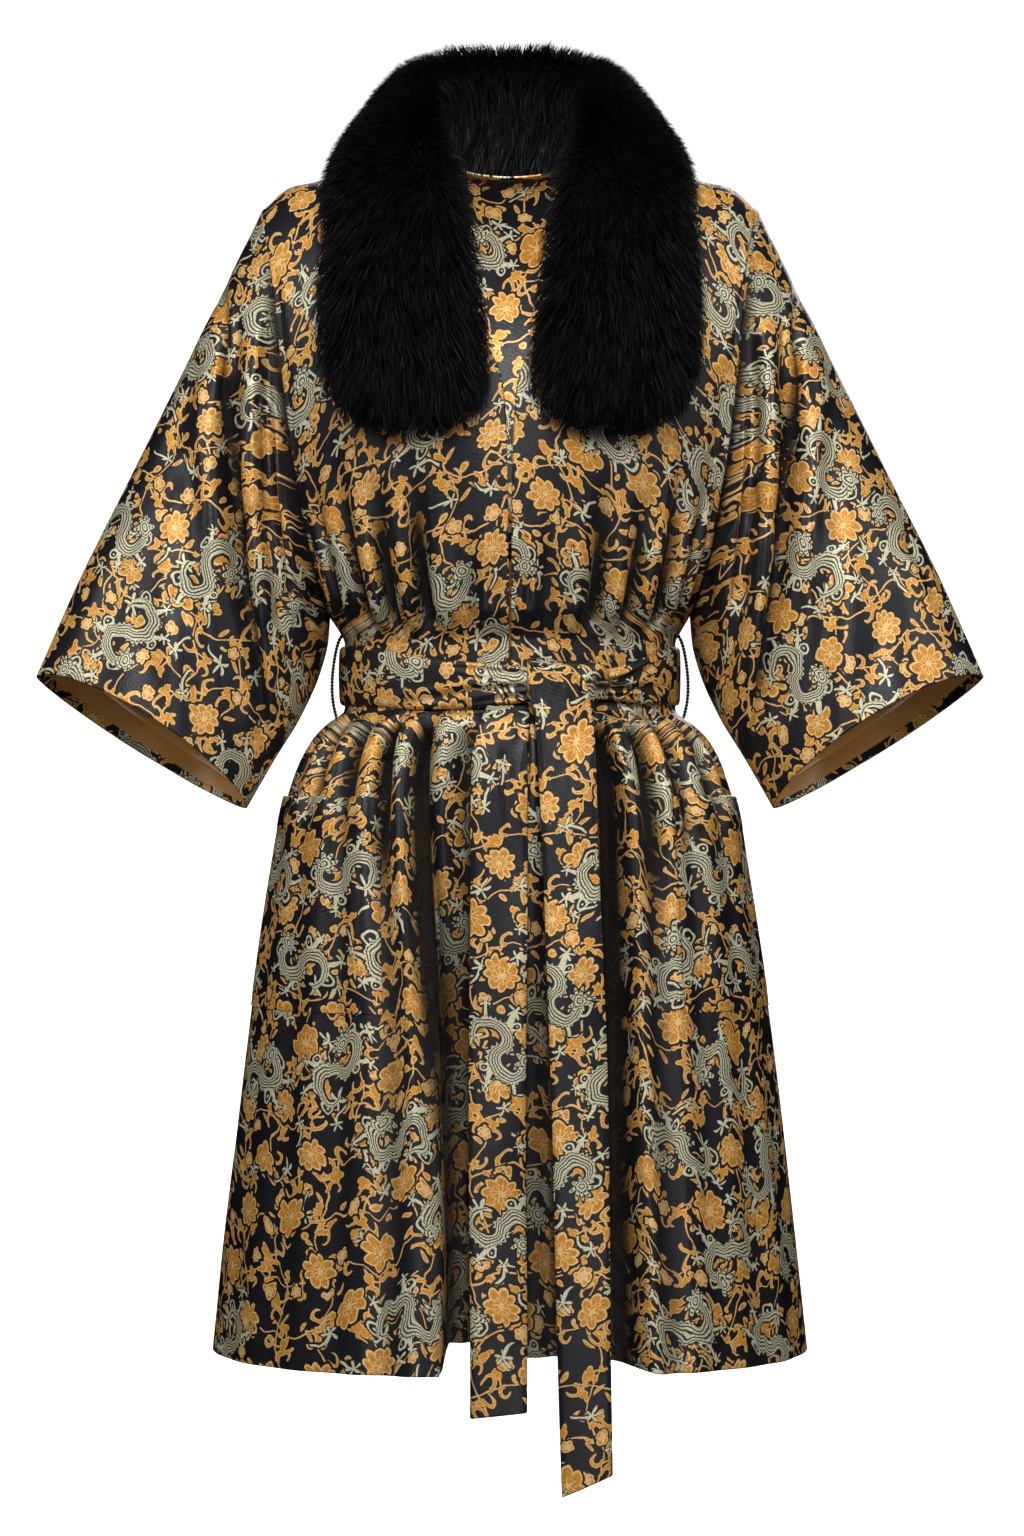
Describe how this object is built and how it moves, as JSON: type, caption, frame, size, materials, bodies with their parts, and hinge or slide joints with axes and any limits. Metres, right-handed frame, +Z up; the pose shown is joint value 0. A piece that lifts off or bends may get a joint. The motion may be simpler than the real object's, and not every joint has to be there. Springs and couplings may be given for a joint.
{
  "type": "kimono coat",
  "caption": "Knee-length belted kimono coat in black and gold brocade with wide sleeves, patch pockets and a black fur shawl collar, hollow and filled out as worn.",
  "frame": {"origin": "midway between the two neck points of the shoulder seams, where the wearer's shoulders carry the coat", "axes": "+Z up, the front faces -Y, +X towards the wearer's left"},
  "size_m": [0.764, 0.325, 1.1805],
  "materials": {
    "brocade": "black satin ground woven with orange-gold flowers, vines and silver-green dragons, soft sheen",
    "satin_lining": "bronze satin, glossy",
    "fur": "black long-haired fur, soft with a faint gloss",
    "thread": "black twisted thread"
  },
  "bodies": {
    "root": {"back": "brocade", "front_right": "brocade", "front_left": "brocade", "sleeve_right": "brocade", "sleeve_left": "brocade", "sleeve_lining_right": "satin_lining", "sleeve_lining_left": "satin_lining", "pocket_right": "brocade", "pocket_left": "brocade", "fur_collar": "fur", "belt_band": "brocade", "belt_knot": "brocade", "belt_end_short": "brocade", "belt_end_long": "brocade", "belt_loop_right": "thread", "belt_loop_left": "thread"}
  },
  "joints": []
}
